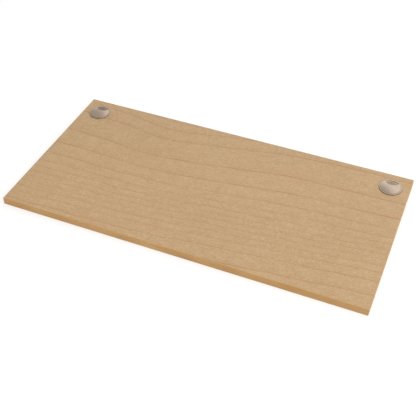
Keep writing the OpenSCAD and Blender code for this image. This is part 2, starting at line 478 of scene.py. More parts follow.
class Repeater(Steps):
    """Geometry Nodes tree that sets copies of one unit on the points of a pattern."""

    def __init__(self, name: str) -> None:
        """Starts an empty tree with the inputs that every pattern shares."""
        super().__init__(bpy.data.node_groups.new(name, "GeometryNodeTree"))
        self.ids: dict[str, str] = {}
        for way in ("OUTPUT", "INPUT"):
            self.tree.interface.new_socket("Geometry", in_out=way, socket_type="NodeSocketGeometry")
        self.source = self.add("NodeGroupInput")
        self.size("Unit", "NodeSocketObject")
        self.size("Finish", "NodeSocketMaterial")
        self.size("Centre", "NodeSocketVector")

    def size(self, name: str, kind: str = "NodeSocketFloat") -> None:
        """Adds a named input to the tree."""
        socket = self.tree.interface.new_socket(name, in_out="INPUT", socket_type=kind)
        self.ids[name] = socket.identifier

    def close(self, points: Socket, outward: bool) -> None:
        """Ends the tree: units on the points, realized, with their finish.

        Args:
            points: Geometry whose points carry the units.
            outward: Whether each unit's X axis turns away from the pattern's centre.
        """
        given = self.source.outputs
        unit = self.run("GeometryNodeObjectInfo", {"Object": given["Unit"]}, transform_space="ORIGINAL")
        inputs = {"Points": points, "Instance": unit.outputs["Geometry"]}
        copies = self.run("GeometryNodeInstanceOnPoints", inputs)
        if outward:
            spot = self.add("GeometryNodeInputPosition").outputs["Position"]
            turn = self.run("FunctionNodeAlignRotationToVector", {"Vector": spot}, axis="X", pivot_axis="Z")
            self.feed(copies.inputs["Rotation"], turn.outputs["Rotation"])
        shift = self.run("GeometryNodeTransform", {"Translation": given["Centre"]})
        real = self.add("GeometryNodeRealizeInstances")
        finish = self.run("GeometryNodeSetMaterial", {"Material": given["Finish"]})
        self.chain(copies, shift, real, finish, self.add("NodeGroupOutput"))

    def make(self, name: str, **sizes: object) -> Object:
        """Runs the tree once and keeps its result as a plain mesh.

        Args:
            name: Name of the new piece.
            **sizes: Value of each named input, with spaces written as underscores.

        Returns:
            The piece, with no modifier.
        """
        piece = new_object(name, bpy.data.meshes.new(name))
        step = piece.modifiers.new(self.tree.name, "NODES")
        step.node_group = self.tree
        for key, value in sizes.items():
            step[self.ids[key.replace("_", " ")]] = value
        return settle(piece)


def ring_repeater() -> Repeater:
    """Tree that sets units round a circle, half a step past its first point."""
    made = Repeater("Units_Round_Circle")
    made.size("Count", "NodeSocketInt")
    made.size("Radius")
    count, radius = (made.source.outputs[name] for name in ("Count", "Radius"))
    ring = made.run("GeometryNodeMeshCircle", {"Vertices": count, "Radius": radius})
    angle = made.run("ShaderNodeCombineXYZ", {"Z": made.math("DIVIDE", math.pi, count)})
    turned = made.run("GeometryNodeTransform", {"Rotation": angle.outputs["Vector"]})
    made.close(made.chain(ring, turned).outputs["Geometry"], outward=True)
    return made


def grid_repeater() -> Repeater:
    """Tree that sets units at the corners of a rectangle."""
    made = Repeater("Units_On_Rectangle")
    grid = made.add("GeometryNodeMeshGrid")
    for axis in "XY":
        made.size(f"Span {axis}")
        made.feed(grid.inputs[f"Vertices {axis}"], 2)
        made.feed(grid.inputs[f"Size {axis}"], made.source.outputs[f"Span {axis}"])
    made.close(grid.outputs["Mesh"], outward=False)
    return made


# ---------------------------------------------------------------- finishes


@dataclass(frozen=True)
class Streaks:
    """Noise drawn out along one direction: features per metre each way, and its strength."""

    scale: Spot
    detail: float = 2.0
    rough: float = 0.5
    weight: float = 1.0


class Recipe(Steps):
    """Node tree of one material, on the piece's own coordinates."""

    def __init__(self, name: str) -> None:
        """Starts a material with one shader."""
        self.material = bpy.data.materials.new(name)
        self.material.use_nodes = True
        super().__init__(self.material.node_tree)
        self.shader = self.add("ShaderNodeBsdfPrincipled")
        self.chain(self.shader, self.add("ShaderNodeOutputMaterial"))
        self.here = self.add("ShaderNodeTexCoord").outputs["Object"]

    def split(self, vector: Source) -> tuple[Socket, Socket, Socket]:
        """X, Y and Z of a vector."""
        return tuple(self.run("ShaderNodeSeparateXYZ", (vector,)).outputs)

    def merge(self, *parts: Source) -> Socket:
        """Vector with the given X, Y and Z."""
        return self.run("ShaderNodeCombineXYZ", parts).outputs[0]

    def noise(self, vector: Source, scale: float, detail: float = 2.0, rough: float = 0.5) -> Socket:
        """Smooth noise from 0 to 1, about 0.5."""
        inputs = {"Vector": vector, "Scale": scale, "Detail": detail, "Roughness": rough}
        return self.run("ShaderNodeTexNoise", inputs).outputs["Fac"]

    def streaks(self, vector: Socket, kind: Streaks) -> Socket:
        """Stretched noise from 0 to 1, about 0.5."""
        stretched = self.vector("MULTIPLY", vector, kind.scale)
        return self.noise(stretched, 1.0, kind.detail, kind.rough)

    def cells(self, vector: Socket, scale: Spot) -> tuple[Socket, Socket]:
        """Random tone of each of many small cells, and the distance from its middle."""
        inputs = {"Vector": self.vector("MULTIPLY", vector, scale), "Scale": 1.0}
        node = self.run("ShaderNodeTexVoronoi", inputs, feature="F1")
        return self.split(node.outputs["Color"])[0], node.outputs["Distance"]

    def curve(self, value: Source, points: Sequence[Point]) -> Socket:
        """Value read off a smooth curve through points between 0 and 1."""
        node = self.run("ShaderNodeFloatCurve", {"Value": value})
        line = node.mapping.curves[0]
        line.points[0].location = points[0]
        line.points[1].location = points[-1]
        for spot in points[1:-1]:
            line.points.new(*spot)
        node.mapping.update()
        return node.outputs["Value"]

    def mix(self, share: Source, first: Source, second: Source) -> Socket:
        """Colour between two others."""
        inputs = {0: share, 6: first, 7: second}
        for place, value in inputs.items():
            if not isinstance(value, (Socket, float)):
                inputs[place] = (*value, 1.0)
        return self.run("ShaderNodeMix", inputs, data_type="RGBA").outputs[2]

    def sum(self, parts: Sequence[tuple[Socket, float]]) -> Socket:
        """Total of several values from 0 to 1, each centred on 0 and given its weight."""
        total: Source = 0.0
        for value, weight in parts:
            centred = self.math("SUBTRACT", value, 0.5)
            total = self.math("MULTIPLY_ADD", centred, weight, total)
        return total

    def bump(self, height: Socket, depth: float) -> None:
        """Relief of the given depth in metres on the shader."""
        node = self.run("ShaderNodeBump", {"Strength": 1.0, "Distance": depth, "Height": height})
        self.feed(self.shader.inputs["Normal"], node.outputs["Normal"])

    def paint(self, color: Source, rough: Source, metal: float = 0.0) -> Material:
        """Gives the shader its colour, roughness and metal, and returns the material."""
        self.feed(self.shader.inputs["Base Color"], color)
        self.feed(self.shader.inputs["Roughness"], rough)
        self.shader.inputs["Metallic"].default_value = metal
        return self.material


@dataclass(frozen=True)
class MapleDecor:
    """Pale maple print: growth lines that bow over the board and close up to its front."""

    name: str = "Maple_Decor"
    length: float = 1.2
    depth: float = 0.6
    drift: Point = (0.0, 0.0)
    pale: Color = (0.482, 0.330, 0.184)
    honey: Color = (0.352, 0.224, 0.104)
    line: Color = (0.300, 0.138, 0.048)
    blush: Color = (0.425, 0.248, 0.130)
    swing: float = 0.14
    level: float = 0.7
    reach: float = 0.72
    lines: float = 15.0
    rear_flow: tuple[Point, ...] = (
        (0.0, 0.68), (0.125, 0.76), (0.29, 0.94), (0.375, 0.85), (0.46, 0.70),
        (0.54, 0.57), (0.71, 0.32), (0.85, 0.28), (1.0, 0.26),
    )
    front_flow: tuple[Point, ...] = (
        (0.0, 0.71), (0.21, 0.665), (0.375, 0.60), (0.54, 0.436), (0.71, 0.293),
        (0.875, 0.129), (1.0, 0.01),
    )
    spacing: tuple[Point, ...] = (
        (0.0, 0.03), (0.035, 0.067), (0.114, 0.133), (0.27, 0.2), (0.47, 0.333),
        (0.578, 0.467), (0.65, 0.6), (0.722, 0.733), (0.812, 0.867), (1.0, 1.0),
    )
    figure: tuple[Streaks, ...] = (
        Streaks((3.2, 3.2, 3.2), weight=0.5),
        Streaks((26.0, 44.0, 1.0), 3.0, 0.6),
        Streaks((16.0, 620.0, 1.0), 3.0, 0.6, 1.3),
        Streaks((150.0, 440.0, 1.0), 3.0, 0.65, 3.3),
        Streaks((75.0, 200.0, 1.0), 3.0, 0.65, 2.3),
    )
    contrast: float = 0.95
    bend: float = 0.014
    ripple: Streaks = Streaks((16.0, 40.0, 1.0), 3.0, weight=0.0055)
    fading: Streaks = Streaks((5.0, 26.0, 1.0))
    breaks: Streaks = Streaks((110.0, 700.0, 1.0))
    warmth: Streaks = Streaks((5.5, 17.0, 1.0), weight=0.45)
    pores: Streaks = Streaks((300.0, 2100.0, 1.0), 1.0, weight=0.30)
    relief: Streaks = Streaks((60.0, 2200.0, 1.0))
    relief_depth: float = 0.00003

    def build(self) -> Material:
        """Material of the print."""
        r = Recipe(self.name)
        place = r.vector("ADD", r.here, (*self.drift, 0.0))
        x, y, _ = r.split(place)
        along = r.math("DIVIDE", r.math("ADD", x, self.length / 2), self.length)
        down = r.math("SUBTRACT", self.depth / 2, y)
        rear, front = r.curve(along, self.rear_flow), r.curve(along, self.front_flow)
        share = r.span(down, 0.10, 0.42)
        flow = r.math("MULTIPLY_ADD", r.math("SUBTRACT", front, rear), share, rear)
        bow = r.math("MULTIPLY", r.math("SUBTRACT", flow, self.level), self.swing)
        ripple = r.streaks(place, self.ripple)
        wander = r.sum([(r.noise(place, 5.0, 1.0), self.bend), (ripple, self.ripple.weight)])
        across = r.math("ADD", r.math("SUBTRACT", down, bow), wander)
        grain = r.merge(x, across, 0.0)
        reached = r.curve(r.math("DIVIDE", across, self.reach), self.spacing)
        growth = self._growth(r, r.math("MULTIPLY", reached, self.lines), grain)
        figure = self._figure(r, place, grain)
        base = r.mix(figure, self.pale, self.honey)
        base = r.mix(self._blush(r, grain), base, self.blush)
        base = r.mix(growth, base, self.line)
        base = r.mix(self._flecks(r, grain), base, self.line)
        r.bump(r.streaks(grain, self.relief), self.relief_depth)
        r.shader.inputs["Specular IOR Level"].default_value = 0.4
        return r.paint(base, r.span(figure, 0.0, 1.0, 0.46, 0.56))

    def _growth(self, r: Recipe, count: Socket, grain: Socket) -> Socket:
        """Strength of the growth lines, which thin out and fade along their length."""
        beside = r.math("PINGPONG", count, 0.5)
        seam = r.span(beside, 0.0, 0.014, 1.0, 0.0)
        core = r.math("MULTIPLY_ADD", seam, 0.55, r.span(beside, 0.0, 0.05, 0.85, 0.0))
        shade = r.math("POWER", r.math("FRACT", count), 5.0)
        between = r.math("MULTIPLY_ADD", r.noise(grain, 6.0), 1.6, r.math("MULTIPLY", count, 3.3))
        hair = r.span(r.math("PINGPONG", between, 0.5), 0.0, 0.10, 1.0, 0.0)
        fade = r.span(r.streaks(grain, self.fading), 0.34, 0.66)
        speck = r.span(r.streaks(grain, self.breaks), 0.3, 0.6, 0.55, 1.0)
        drawn = r.math("MULTIPLY", r.math("MULTIPLY_ADD", fade, 0.46, 0.30), core)
        drawn = r.math("MULTIPLY_ADD", shade, 0.14, drawn)
        faint = r.math("MULTIPLY", hair, r.math("SUBTRACT", 1.0, fade))
        drawn = r.math("MULTIPLY_ADD", faint, 0.12, drawn)
        return r.math("MULTIPLY", drawn, speck)

    def _figure(self, r: Recipe, place: Socket, grain: Socket) -> Socket:
        """Mottle and fibre of the print, from 0 where it is pale to 1."""
        cloud, *fibres = self.figure
        parts = [(r.streaks(place, cloud), cloud.weight)]
        parts += [(r.streaks(grain, kind), kind.weight) for kind in fibres]
        return r.span(r.sum(parts), -self.contrast, self.contrast)

    def _blush(self, r: Recipe, grain: Socket) -> Socket:
        """Where the print warms to a reddish tan."""
        return r.span(r.streaks(grain, self.warmth), 0.52, 0.78, 0.0, self.warmth.weight)

    def _flecks(self, r: Recipe, grain: Socket) -> Socket:
        """Short dark pores, and a few pin knots."""
        pore = r.span(r.streaks(grain, self.pores), 0.64, 0.76, 0.0, self.pores.weight)
        tone, distance = r.cells(grain, (6.0, 9.0, 1.0))
        rare = r.math("GREATER_THAN", tone, 0.80)
        knot = r.span(distance, 0.008, 0.022, 0.75, 0.0)
        return r.math("MAXIMUM", pore, r.math("MULTIPLY", knot, rare))


@dataclass(frozen=True)
class MapleEdging:
    """Printed plastic edge band, warmer than the decor, with its grain along the band."""

    name: str
    lengthwise: Spot
    pale: Color = (0.485, 0.285, 0.108)
    deep: Color = (0.375, 0.190, 0.050)

    def build(self) -> Material:
        """Material of the band."""
        r = Recipe(self.name)
        slow = Streaks(tuple(6.0 if part else 330.0 for part in self.lengthwise), 3.0, 0.6, 1.3)
        quick = Streaks(tuple(70.0 if part else 1500.0 for part in self.lengthwise), 2.0, 0.6, 0.6)
        parts = [(r.streaks(r.here, kind), kind.weight) for kind in (slow, quick)]
        cloud = r.noise(r.here, 7.0)
        figure = r.span(r.sum([*parts, (cloud, 1.6)]), -0.6, 0.6)
        r.bump(parts[1][0], 0.00004)
        r.shader.inputs["Specular IOR Level"].default_value = 0.4
        return r.paint(r.mix(figure, self.pale, self.deep), r.span(figure, 0.0, 1.0, 0.42, 0.52))


@dataclass(frozen=True)
class Chipboard:
    """Cut particleboard: pressed chips of several tans with dark glue between them."""

    name: str = "Chipboard"
    chip: Color = (0.52, 0.36, 0.19)
    dark: Color = (0.30, 0.18, 0.08)
    chips: Spot = (210.0, 260.0, 620.0)

    def build(self) -> Material:
        """Material of the cut board."""
        r = Recipe(self.name)
        tone, _ = r.cells(r.here, self.chips)
        crumb = r.noise(r.here, 900.0, 3.0, 0.7)
        figure = r.span(r.sum([(tone, 1.0), (crumb, 0.8)]), -0.6, 0.6)
        r.bump(r.math("ADD", tone, crumb), 0.0003)
        return r.paint(r.mix(figure, self.chip, self.dark), r.span(crumb, 0.3, 0.7, 0.8, 0.95))


@dataclass(frozen=True)
class SatinNickel:
    """Nickel over a die casting, blasted to a satin sheen and worn a little at its rim, with painted shadow
    darkening it towards the flange's outer foot.
    """

    name: str
    centre: Vector
    rim: float
    foot: float
    # Share of the colour kept everywhere; below 1 it is painted shade, as on the shutter's darker copy
    # under the lid's lip
    tone: float = 1.0
    tint: Color = (0.495, 0.393, 0.304)
    worn: Color = (0.59, 0.475, 0.375)
    dull: Color = (0.435, 0.340, 0.258)
    wear_width: float = 0.0009
    # Painted shadow round the flange's foot: the colour falls to this share of itself over the last
    # millimetres out to the foot
    foot_shade: float = 0.62
    foot_start: float = 0.0022
    foot_end: float = 0.0002
    relief_depth: float = 0.000001

    def build(self) -> Material:
        """Material of one port's metal."""
        r = Recipe(self.name)
        x, y, _ = r.split(r.vector("SUBTRACT", r.here, tuple(self.centre)))
        out = r.vector("LENGTH", r.merge(x, y, 0.0))
        grain = r.noise(r.here, 5200.0, 2.0, 0.6)
        touch = r.span(r.noise(r.here, 130.0, 3.0, 0.6), 0.42, 0.72)
        off_rim = r.math("ABSOLUTE", r.math("SUBTRACT", out, self.rim))
        patchy = r.span(r.noise(r.here, 420.0), 0.35, 0.65)
        edge = r.math("MULTIPLY", r.span(off_rim, 0.0, self.wear_width, 0.55, 0.0), patchy)
        color = r.mix(r.math("MULTIPLY", touch, 0.45), self.tint, self.dull)
        color = r.mix(edge, color, self.worn)
        # Painted shadow: the colour darkens towards the flange's outer foot, where it meets the board
        start, end = self.foot - self.foot_start, self.foot - self.foot_end
        shade = r.span(out, start, end, self.tone, self.tone * self.foot_shade)
        r.bump(grain, self.relief_depth)
        rough = r.math("ADD", r.span(grain, 0.2, 0.8, 0.16, 0.22), r.math("MULTIPLY", touch, 0.05))
        return r.paint(r.vector("SCALE", color, shade), rough, 0.95)


@dataclass(frozen=True)
class ZincSteel:
    """Bright zinc plate with a faint blue cast and small stains."""

    name: str = "Zinc_Steel"
    bright: Color = (0.56, 0.58, 0.60)
    stain: Color = (0.40, 0.40, 0.37)

    def build(self) -> Material:
        """Material of the plated steel."""
        r = Recipe(self.name)
        cloud = r.noise(r.here, 380.0, 3.0, 0.6)
        grain = r.noise(r.here, 4200.0, 2.0, 0.6)
        r.bump(grain, 0.000004)
        color = r.mix(r.span(cloud, 0.4, 0.75), self.bright, self.stain)
        return r.paint(color, r.span(grain, 0.2, 0.8, 0.24, 0.36), 1.0)


# ---------------------------------------------------------------- board


def carry(piece: Object, body: str, slot: str, *nodes: str) -> Object:
    """Hands a finished piece to the frame.

    Args:
        piece: The piece, placed and dressed.
        body: Body that it moves with.
        slot: Not used.
        *nodes: CAD nodes that it stands for.

    Returns:
        The same piece.
    """
    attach(piece, body)
    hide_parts(*nodes)
    LOG.info("%s: %d faces, moves with %s", piece.name, len(piece.data.polygons), body)
    return piece


def dress(piece: Object, finish: Material) -> Object:
    """Gives a whole piece one finish."""
    piece.data.materials.clear()
    piece.data.materials.append(finish)
    for face in piece.data.polygons:
        face.material_index = 0
    return piece


@dataclass
class Board:
    """The laminated board: core, decor, backer and bands."""

    nodes: dict[str, Object]
    arris: float = 1.6
    steps: int = 6

    def build(self) -> None:
        """Dresses the kept solids and makes the bands."""
        kept = {
            "core_board": Chipboard(),
            "top_laminate": MapleDecor(),
            "backer_laminate": MapleDecor(name="Maple_Backer", drift=(0.07, -0.045)),
        }
        for node, finish in kept.items():
            self._dress_solid(node, finish.build())
        along_x = MapleEdging("Maple_Edging_Long", (1.0, 0.0, 0.0)).build()
        along_y = MapleEdging("Maple_Edging_Short", (0.0, 1.0, 0.0)).build()
        for words, finish in ((("front", "rear"), along_x), (("left", "right"), along_y)):
            for word in words:
                self._band(f"{word}_edge_band", finish)

    def _dress_solid(self, node: str, finish: Material) -> None:
        """Puts a finish into every material slot of a kept CAD node."""
        solid = self.nodes[node]
        if not solid.material_slots:
            solid.data.materials.append(finish)
        for slot in solid.material_slots:
            slot.material = finish
        LOG.info("%s: kept, %s", node, finish.name)

    def _band(self, node: str, finish: Material) -> None:
        """Makes one band with its outer arrises rounded.

        Args:
            node: CAD node that the band stands for.
            finish: Its material.
        """
        low, high = (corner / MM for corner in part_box(node))
        long_one = high.x - low.x > high.y - low.y
        inner = Vector((0.0, math.copysign(1.0, -low.y - high.y), 0.0))
        if not long_one:
            inner = Vector((math.copysign(1.0, -low.x - high.x), 0.0, 0.0))

        def outer_edge(edge: BMEdge) -> bool:
            """Whether an edge is off the glued face, and off the butted ends of a side band."""
            if any(face.normal.dot(inner) > ALIGNED for face in edge.link_faces):
                return False
            return long_one or all(abs(face.normal.y) < ALIGNED for face in edge.link_faces)

        piece = block(f"{node}_shaped", low, high)
        ease(piece, self.arris, self.steps, outer_edge)
        place(piece, Vector())
        dress(smooth(piece), finish)
        carry(piece, "root", "maple_edging", node)


@dataclass
class FrameInserts:
    """Four slotted, threaded inserts in one half of the underside."""

    side: Side
    finish: Material
    length: float = 13.0
    outer: float = 5.0
    outer_root: float = 4.4
    outer_pitch: float = 2.6
    bore: float = 2.5
    bore_root: float = 2.95
    bore_pitch: float = 1.0
    slot_width: float = 1.4
    slot_depth: float = 1.6
    chamfer: float = 0.45
    segments: int = 36

    def build(self, pattern: Repeater) -> None:
        """Makes the four inserts.

        Args:
            pattern: Tree that sets units at the corners of a rectangle.
        """
        node = f"{self.side.word}_frame_inserts"
        low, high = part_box(node)
        middle = (low + high) / 2
        unit = place(self._unit(), Vector())
        piece = pattern.make(
            f"{node}_threaded",
            Unit=unit,
            Finish=self.finish,
            Centre=(middle.x, middle.y, low.z),
            Span_X=high.x - low.x - 2 * self.outer * MM,
            Span_Y=high.y - low.y - 2 * self.outer * MM,
        )
        bpy.data.objects.remove(unit)
        dress(smooth(piece), self.finish)
        carry(piece, "root", "zinc_steel", node)

    def _unit(self) -> Object:
        """One insert, mouth down, with its slot cut."""
        top, c, n = self.length, self.chamfer, self.segments
        rings = [circle(self.outer_root - c, 0.0, n)]
        rings += thread(self.outer_root, self.outer, self.outer_pitch, c, top - c, n)
        rings += [circle(self.outer_root - c, top, n), circle(self.bore + c, top, n)]
        rings += thread(self.bore, self.bore_root, self.bore_pitch, c, top - c, n)[::-1]
        rings += [circle(self.bore + c, 0.0, n)]
        unit = loft("Insert_Unit", rings, endless=True)
        reach, half = self.outer + 1.0, self.slot_width / 2
        slot = block("Insert_Slot", (-reach, -half, -1.0), (reach, half, self.slot_depth))
        return combine(unit, slot, Operation.CUT)


# ---------------------------------------------------------------- ports


@dataclass(frozen=True)
class PortSizes:
    """Sizes that a port's pieces share, about its axis with the board's face at 0."""

    sleeve_r: float = 31.8
    bore_r: float = 29.8
    sleeve_low: float = -22.0
    flange_r: float = 37.5
    flange_top: float = 3.4
    shoulder: float = 2.0
    recess_r: float = 33.2
    seat_top: float = 1.6
    rim_r: float = 32.8
    rim_low: float = 1.7
    crown: float = 8.6
    rise: float = 4.4
    wall: float = 1.8
    skirt_r: float = 29.4
    skirt_bore_r: float = 27.9
    skirt_low: float = -8.0
    key_w: float = 3.0
    key_r: float = 30.6
    key_gap: float = 0.3
    mouth_r: float = 22.0
    mouth_front: float = 5.5
    shutter_r: float = 27.3
    shutter_t: float = 1.6
    shutter_top: float = 2.0
    shutter_overlap: float = 6.0
    stop_gap: float = 1.5
    stop_w: float = 2.4
    ridge_h: float = 0.7
    ridge_half: float = 6.0
    ridge_t: float = 1.6
    ridge_inset: float = 4.0
    play: float = 0.3
    hub_r: float = 6.0
    boss_r: float = 4.5
    pin_r: float = 3.0
    pin_gap: float = 0.08
    washer_r: float = 6.0
    washer_t: float = 0.8
    pilot_r: float = 1.55
    pilot_depth: float = 5.7
    screw_r: float = 1.5
    screw_root: float = 1.2
    screw_pitch: float = 0.5
    screw_length: float = 6.0
    head_r: float = 2.8
    head_h: float = 2.0
    cross_long: float = 1.6
    cross_wide: float = 0.4
    cross_depth: float = 1.1

    @property
    def mouth_y(self) -> float:
        """Distance from the lid's axis to the centre of the mouth."""
        return self.mouth_front + self.mouth_r

    @property
    def shutter_low(self) -> float:
        """Height of the shutter's underside."""
        return self.shutter_top - self.shutter_t

    @property
    def shutter_half(self) -> float:
        """Half of the shutter's angle, in degrees."""
        return math.degrees(math.asin(self.mouth_r / self.mouth_y)) + self.shutter_overlap

    @property
    def stop_half(self) -> float:
        """Half of the stop's angle, in degrees."""
        return 90.0 - self.shutter_half - self.stop_gap

    @property
    def pin_low(self) -> float:
        """Height of the pin's end, which the washer bears on."""
        return self.shutter_low - self.play

    @property
    def washer_low(self) -> float:
        """Height of the washer's underside, which the screw's head bears on."""
        return self.pin_low - self.washer_t

    @property
    def dome_r(self) -> float:
        """Radius of the sphere that the lid's dome is part of."""
        return (self.rim_r**2 + self.rise**2) / (2 * self.rise)

    def dome(self, out: float, depth: float = 0.0) -> float:
        """Height of the dome at a radius, or of the surface a depth below it."""
        ball = self.dome_r - depth
        return self.crown - self.dome_r + math.sqrt(ball * ball - out * out)


@dataclass(frozen=True)
class LidPlan:
    """Outline of the lid's dome: a disc with the round mouth cut out and both horns eased."""

    sizes: PortSizes
    horn: float = 1.3
    along: int = 128
    round_steps: int = 10

    def horn_centre(self) -> Point:
        """Centre of the right-hand horn's rounding."""
        s = self.sizes
        from_axis, from_mouth = s.rim_r - self.horn, s.mouth_r + self.horn
        y = (from_axis**2 - from_mouth**2 + s.mouth_y**2) / (2 * s.mouth_y)
        return math.sqrt(from_axis**2 - y * y), y

    def loop(self, inset: float) -> list[Point]:
        """Closed outline, moved inward.

        Args:
            inset: How far it is moved.

        Returns:
            The rim from the left horn round the front to the right one, the right horn,
            the mouth from right to left, and the left horn.
        """
        s = self.sizes
        cx, cy = self.horn_centre()
        at_rim = math.degrees(math.atan2(cy, cx))
        at_mouth = math.degrees(math.atan2(cy - s.mouth_y, cx))
        rim = arc(ORIGIN, s.rim_r - inset, 180 - at_rim, 360 + at_rim, self.along)
        right = arc((cx, cy), self.horn - inset, at_rim, 180 + at_mouth, self.round_steps)
        mouth = arc((0.0, s.mouth_y), s.mouth_r + inset, at_mouth, -180 - at_mouth, self.along)
        left = arc((-cx, cy), self.horn - inset, -at_mouth, 180 - at_rim, self.round_steps)
        return rim + right[1:] + mouth[1:] + left[1:-1]


@dataclass
class Port:
    """One cable port: sleeve, lid, shutter, washer and pivot screw."""

    side: Side
    nickel: Material
    # Darker copy of the nickel for the shutter: painted shade
    inner: Material
    steel: Material
    sizes: PortSizes = field(default_factory=PortSizes)
    axis: Vector = field(init=False)
    segments: int = 144
    rib_count: int = 12
    rib_half: float = 0.6
    rib_proud: float = 0.15
    rib_low: float = -15.2
    rib_height: float = 13.2
    bead: float = 0.25
    lip: float = 0.55
    lip_steps: int = 6
    crown_rows: int = 22
    lap: float = 0.02
    bite: float = 0.7
    corner: float = 0.9

    def build(self, pattern: Repeater) -> None:
        """Makes the port's five pieces.

        Args:
            pattern: Tree that sets units round a circle.
        """
        word = self.side.word
        low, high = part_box(f"{word}_port_sleeve")
        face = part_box("top_laminate")[1].z
        self.axis = Vector(((low.x + high.x) / 2, (low.y + high.y) / 2, face))
        for piece, node, body, finish, slot in (
            (self._sleeve(pattern), "port_sleeve", "root", self.nickel, "satin_nickel"),
            (self._lid(), "port_lid", f"{word}_lid", self.nickel, "satin_nickel"),
            # The shutter takes the darker nickel, painted shade for its place under the lid's lip
            (self._shutter(), "port_shutter", f"{word}_shutter", self.inner, "satin_nickel"),
            (self._washer(), "pivot_washer", f"{word}_lid", self.steel, "zinc_steel"),
            (self._screw(), "pivot_screw", f"{word}_lid", self.steel, "zinc_steel"),
        ):
            place(piece, self.axis)
            dress(smooth(piece), finish)
            carry(piece, body, slot, f"{word}_{node}")

    def _name(self, part: str) -> str:
        """Name of one of this port's finished pieces."""
        return f"{self.side.word}_{part}"

    def _sleeve(self, pattern: Repeater) -> Object:
        """Sleeve with its flange, seat, key slot and crush ribs.

        Args:
            pattern: Tree that sets the ribs round the sleeve.

        Returns:
            The sleeve, in millimetres.
        """
        s = self.sizes
        corners = [
            (s.bore_r, s.sleeve_low, 0.5), (s.sleeve_r, s.sleeve_low, 0.8), (s.sleeve_r, 0.0, 0.0),
            (s.flange_r, 0.0, 0.25), (s.flange_r, s.flange_top, s.shoulder),
            (s.recess_r, s.flange_top, 0.5), (s.recess_r, s.seat_top, 0.3), (s.bore_r, s.seat_top, 0.5),
        ]
        sleeve = lathe(self._name("port_sleeve_turned"), rounded(corners, 8), self.segments)
        half = s.key_w / 2 + s.key_gap
        low = (-half, -s.key_r - s.key_gap, s.skirt_low - s.key_gap)
        combine(sleeve, block("Key_Slot", low, (half, 2 - s.bore_r, s.seat_top + 1)), Operation.CUT)
        proud = (self.rib_proud, self.rib_half, self.rib_height)
        rib = block("Rib_Unit", (-1.0, -self.rib_half, 0.0), proud)
        ease(rib, 0.12, 2, lambda edge: edge.calc_length() > 2)
        ribs = pattern.make(
            "Crush_Ribs",
            Unit=rib,
            Finish=self.nickel,
            Centre=(0.0, 0.0, self.rib_low),
            Count=self.rib_count,
            Radius=s.sleeve_r,
        )
        bpy.data.objects.remove(rib)
        return combine(sleeve, ribs, Operation.JOIN)

    def _dome(self, name: str) -> Object:
        """Domed plate with the mouth cut out, its lip rounded, and a flat underside.

        Args:
            name: Name of the object.

        Returns:
            The plate, closed and in millimetres.
        """
        s, plan = self.sizes, LidPlan(self.sizes)
        form = bmesh.new()
        levels: list[list[BMVert]] = []
        for inset, z in ((self.bead, s.rim_low), (0.0, s.rim_low + self.bead)):
            levels.append([form.verts.new((x, y, z)) for x, y in plan.loop(inset)])
        for k in range(self.lip_steps + 1):
            turn = math.radians(90 * k / self.lip_steps)
            inset, drop = (self.lip * (1 - part) for part in (math.cos(turn), math.sin(turn)))
            level = []
            for x, y in plan.loop(inset):
                out = min(math.hypot(x, y), s.rim_r)
                level.append(form.verts.new((x, y, s.dome(out) - drop)))
            levels.append(level)
        skin(form, levels)
        form.faces.new(levels[0][::-1])
        self._crown(form, levels[-1], plan)
        return new_piece(name, form)

    def _crown(self, form: BMesh, edge: list[BMVert], plan: LidPlan) -> None:
        """Fills the dome inside its rounded lip with even rows from the rim to the mouth.

        Args:
            form: Working mesh.
            edge: The lip's last loop of points.
            plan: The lid's outline.
        """
        s, rows, n, h = self.sizes, self.crown_rows, plan.along, plan.round_steps
        rim = edge[: n + 1]
        mouth = edge[n + h : n + h + n + 1][::-1]
        right = edge[n + 1 : n + h]
        left = edge[2 * n + h + 1 :]
        grid = []
        for start, end in zip(rim, mouth):
            row = [start]
            for j in range(1, rows):
                spot = start.co.lerp(end.co, j / rows)
                row.append(form.verts.new((spot.x, spot.y, s.dome(math.hypot(spot.x, spot.y)))))
            grid.append(row + [end])
        for here, there in zip(grid, grid[1:]):
            for j in range(rows):
                form.faces.new((here[j], there[j], there[j + 1], here[j + 1]))
        form.faces.new(grid[-1] + right[::-1])
        form.faces.new(grid[0][::-1] + left[::-1])

    def _lid(self) -> Object:
        """Lid: dome, hollow, skirt with its key and stop, and boss with its pin."""
        s = self.sizes
        lid = self._dome(self._name("port_lid_domed"))
        radii = [s.skirt_bore_r * k / 10 for k in range(11)]
        roof = [(r, s.dome(r, s.wall)) for r in radii]
        hollow = lathe("Hollow", [(0.0, 1.0), (s.skirt_bore_r, 1.0)] + roof[::-1], self.segments)
        combine(lid, hollow, Operation.CUT)
        combine(lid, self._skirt(), Operation.JOIN)
        return combine(lid, self._boss(), Operation.JOIN)

    def _skirt(self) -> Object:
        """Skirt ring with the key outside it and the shutter's stop inside."""
        s = self.sizes
        bore, low, top = s.skirt_bore_r - self.lap, s.skirt_low, s.rim_low + 0.03
        corners = [(bore, low, 0.4), (s.skirt_r, low, 0.6), (s.skirt_r, top, 0.0), (bore, top, 0.0)]
        skirt = lathe("Skirt", rounded(corners, 5), self.segments)
        half = s.key_w / 2
        key = block("Key", (-half, -s.key_r, low + 0.05), (half, -s.skirt_r + self.bite, 0.0))
        ease(key, 0.3, 3, lambda edge: min(v.co.y for v in edge.verts) < -s.key_r + 0.01)
        combine(skirt, key, Operation.JOIN)
        inner = arc(ORIGIN, s.skirt_bore_r - s.stop_w, -s.stop_half, s.stop_half, 24)
        outer = arc(ORIGIN, s.skirt_bore_r + self.bite, s.stop_half, -s.stop_half, 24)
        stop = slab("Stop", inner + outer, s.shutter_low, s.shutter_top)
        ease(stop, 0.2, 3)
        return combine(skirt, stop, Operation.JOIN)

